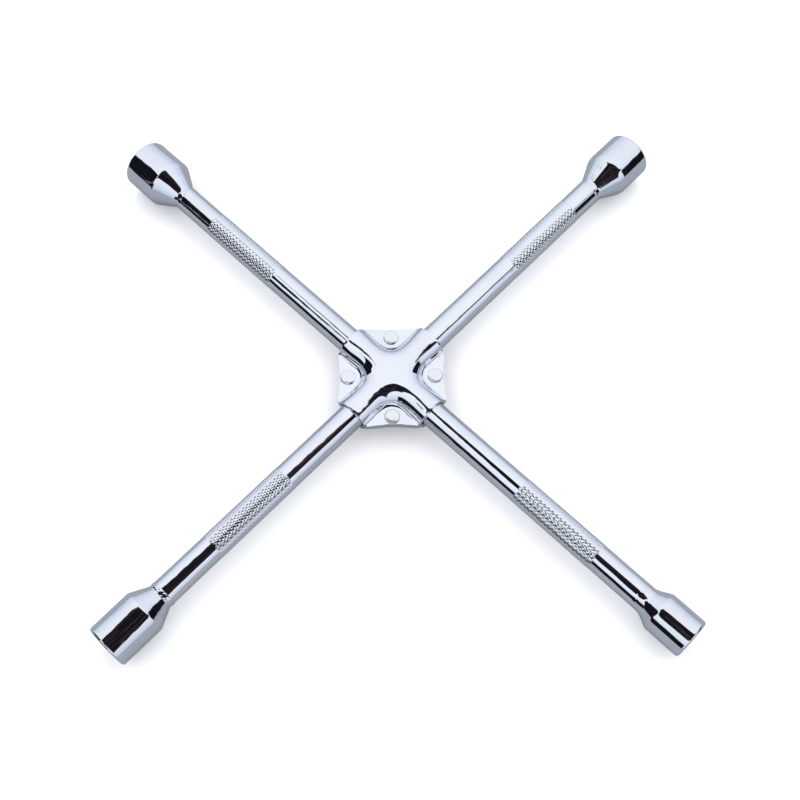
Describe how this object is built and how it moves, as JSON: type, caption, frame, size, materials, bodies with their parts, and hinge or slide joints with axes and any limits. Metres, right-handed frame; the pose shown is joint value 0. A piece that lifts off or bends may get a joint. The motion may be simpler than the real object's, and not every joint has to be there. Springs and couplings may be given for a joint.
{
  "type": "lug wrench",
  "caption": "Four-way cross lug wrench with a hex socket on every arm, knurled grips, and a riveted cover plate over each side of the welded middle.",
  "frame": {"origin": "where the axes of the two bars cross, at the middle of the cover plates", "axes": "the bars lie along X and Y; +X points out of the 17 mm socket, +Y out of the 21 mm socket, and +Z out of the plate that carries the rivets' round heads"},
  "size_m": [0.452, 0.445, 0.032],
  "materials": {
    "bar_chrome": "bright nickel-chrome plate over ground steel bar, diamond knurl on the grips",
    "socket_chrome": "bright nickel-chrome plate over forged steel",
    "weld_chrome": "plated weld bead, a little rougher than the bars",
    "plate_chrome": "bright nickel-chrome plate over stamped sheet steel",
    "rivet_chrome": "plated rivet with fine set marks"
  },
  "bodies": {
    "root": {"through_rod": "bar_chrome", "half_rod_21mm": "bar_chrome", "half_rod_19mm": "bar_chrome", "socket_23mm": "socket_chrome", "neck_weld_23mm": "weld_chrome", "socket_21mm": "socket_chrome", "neck_weld_21mm": "weld_chrome", "socket_17mm": "socket_chrome", "neck_weld_17mm": "weld_chrome", "socket_19mm": "socket_chrome", "neck_weld_19mm": "weld_chrome", "corner_weld_17_21mm": "weld_chrome", "rivet_17_21mm": "rivet_chrome", "corner_weld_21_23mm": "weld_chrome", "rivet_21_23mm": "rivet_chrome", "corner_weld_23_19mm": "weld_chrome", "rivet_23_19mm": "rivet_chrome", "corner_weld_19_17mm": "weld_chrome", "rivet_19_17mm": "rivet_chrome", "front_cover_plate": "plate_chrome", "back_cover_plate": "plate_chrome"}
  },
  "joints": []
}
